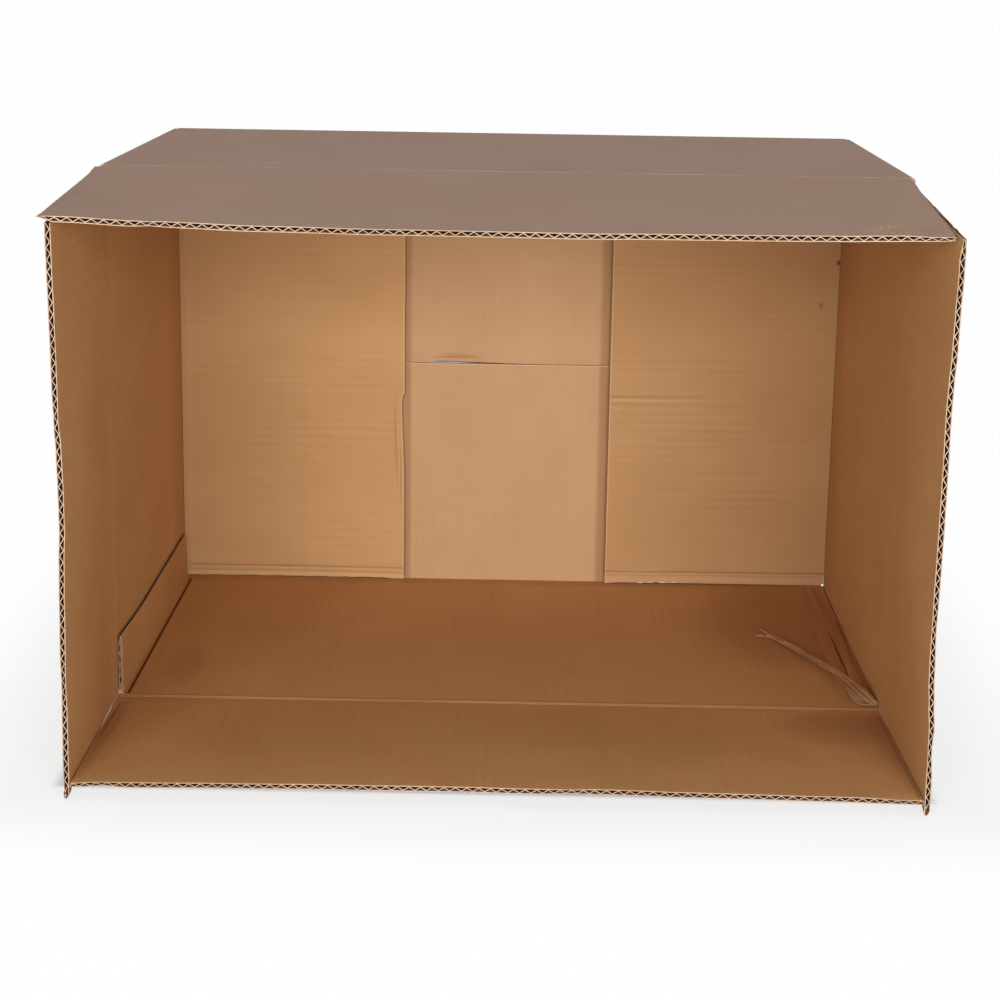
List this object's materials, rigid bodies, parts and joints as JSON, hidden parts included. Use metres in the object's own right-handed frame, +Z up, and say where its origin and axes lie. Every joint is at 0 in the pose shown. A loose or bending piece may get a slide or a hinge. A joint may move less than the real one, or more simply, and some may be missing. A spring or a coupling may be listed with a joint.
{
  "type": "moving box",
  "caption": "Corrugated cardboard moving box lying on its long side, mouth flaps open, far end closed by inner flaps and taped outer flaps.",
  "frame": {"origin": "middle of the outline at the surface that the box lies on", "axes": "+X along the box's length, +Y into the box from its open mouth towards the closed end, +Z up"},
  "size_m": [0.5884, 0.5494, 0.406],
  "materials": {
    "kraft_board": "matt brown kraft liner",
    "torn_board": "torn fibres of kraft board",
    "clear_tape": "clear glossy packing tape"
  },
  "bodies": {
    "carton": {"carton_body": "kraft_board", "seam_tape": "clear_tape", "torn_slot_strip": "torn_board"},
    "mouth_flap_bottom": {"front_flap_bottom": "kraft_board"},
    "mouth_flap_top": {"front_flap_top": "kraft_board"},
    "mouth_flap_left": {"front_flap_left": "kraft_board"},
    "mouth_flap_right": {"front_flap_right": "kraft_board"},
    "inner_flap_left": {"back_flap_left": "kraft_board"},
    "inner_flap_right": {"back_flap_right": "kraft_board"}
  },
  "joints": [
    {"name": "bottom_flap_crease", "type": "hinge", "parent": "carton", "child": "mouth_flap_bottom", "pos_m": [0, -0.07415, 0.002], "axis": [1, 0, 0], "range_deg": [-87.13, 92.87]},
    {"name": "top_flap_crease", "type": "hinge", "parent": "carton", "child": "mouth_flap_top", "pos_m": [0, -0.07415, 0.404], "axis": [-1, 0, 0], "range_deg": [-85.4, 94.6]},
    {"name": "left_flap_crease", "type": "hinge", "parent": "carton", "child": "mouth_flap_left", "pos_m": [-0.292, -0.06985, 0.203], "axis": [0, 0, -1], "range_deg": [-88.7, 91.3]},
    {"name": "right_flap_crease", "type": "hinge", "parent": "carton", "child": "mouth_flap_right", "pos_m": [0.292, -0.06985, 0.203], "axis": [0, 0, 1], "range_deg": [-89.7, 90.3]},
    {"name": "inner_left_flap_crease", "type": "hinge", "parent": "carton", "child": "inner_flap_left", "pos_m": [-0.29, 0.26615, 0.203], "axis": [0, 0, -1], "range_deg": [0, 68]},
    {"name": "inner_right_flap_crease", "type": "hinge", "parent": "carton", "child": "inner_flap_right", "pos_m": [0.29, 0.26615, 0.203], "axis": [0, 0, 1], "range_deg": [-1.2, 85]}
  ]
}
